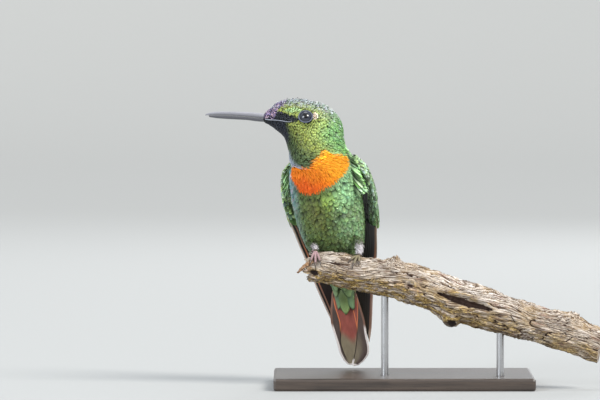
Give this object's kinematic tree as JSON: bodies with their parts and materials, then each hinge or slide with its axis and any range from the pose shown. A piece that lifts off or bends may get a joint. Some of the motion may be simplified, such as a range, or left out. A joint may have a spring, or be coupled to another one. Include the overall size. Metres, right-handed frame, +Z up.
{
  "type": "hummingbird on a perch",
  "caption": "Life-size hummingbird with a straight bill, orange breast patch and rufous tail, gripping a short cut branch on a small plate stand with slim rods.",
  "frame": {"origin": "centre of the stand's underside, on the surface it stands on", "axes": "+Z up, the bill points along -X, the breast and the viewer are towards -Y, +X is the perch's cut end"},
  "size_m": [0.1283, 0.058, 0.0932],
  "materials": {
    "plumage_green": "glittering scaly green feathers with a metallic sheen",
    "plumage_breast": "fine matt orange feathers with a soft fringe, green round them",
    "tail_feathers": "smooth rufous vanes with bronzy olive tips and a thin pale rim",
    "wing_coverts": "small overlapping bronzy green feathers",
    "flight_feathers": "smooth dusky brown vanes with thin buff edges",
    "bill_horn": "smooth dark horn, satin",
    "eye_dark": "polished near-black",
    "leg_down": "loose whitish down",
    "foot_skin": "pinkish grey scaled skin with dark claws",
    "perch_wood": "weathered grey-tan wood with ridged grain and moss tints",
    "stand_board": "dark stained board, satin lacquer",
    "stand_steel": "drawn steel rod"
  },
  "bodies": {
    "root": {"head": "plumage_green", "neck": "plumage_breast", "trunk": "plumage_green", "tail": "tail_feathers", "bill_upper": "bill_horn", "bill_lower": "bill_horn", "eye_left": "eye_dark", "eye_right": "eye_dark", "leg_left": "leg_down", "leg_right": "leg_down", "foot_left": "foot_skin", "foot_right": "foot_skin", "perch": "perch_wood", "stand_base": "stand_board", "stand_rod_1": "stand_steel", "stand_rod_2": "stand_steel", "wing_left_coverts": "wing_coverts", "wing_left_secondaries": "flight_feathers", "wing_left_primaries": "flight_feathers", "wing_right_coverts": "wing_coverts", "wing_right_secondaries": "flight_feathers", "wing_right_primaries": "flight_feathers"}
  },
  "joints": []
}
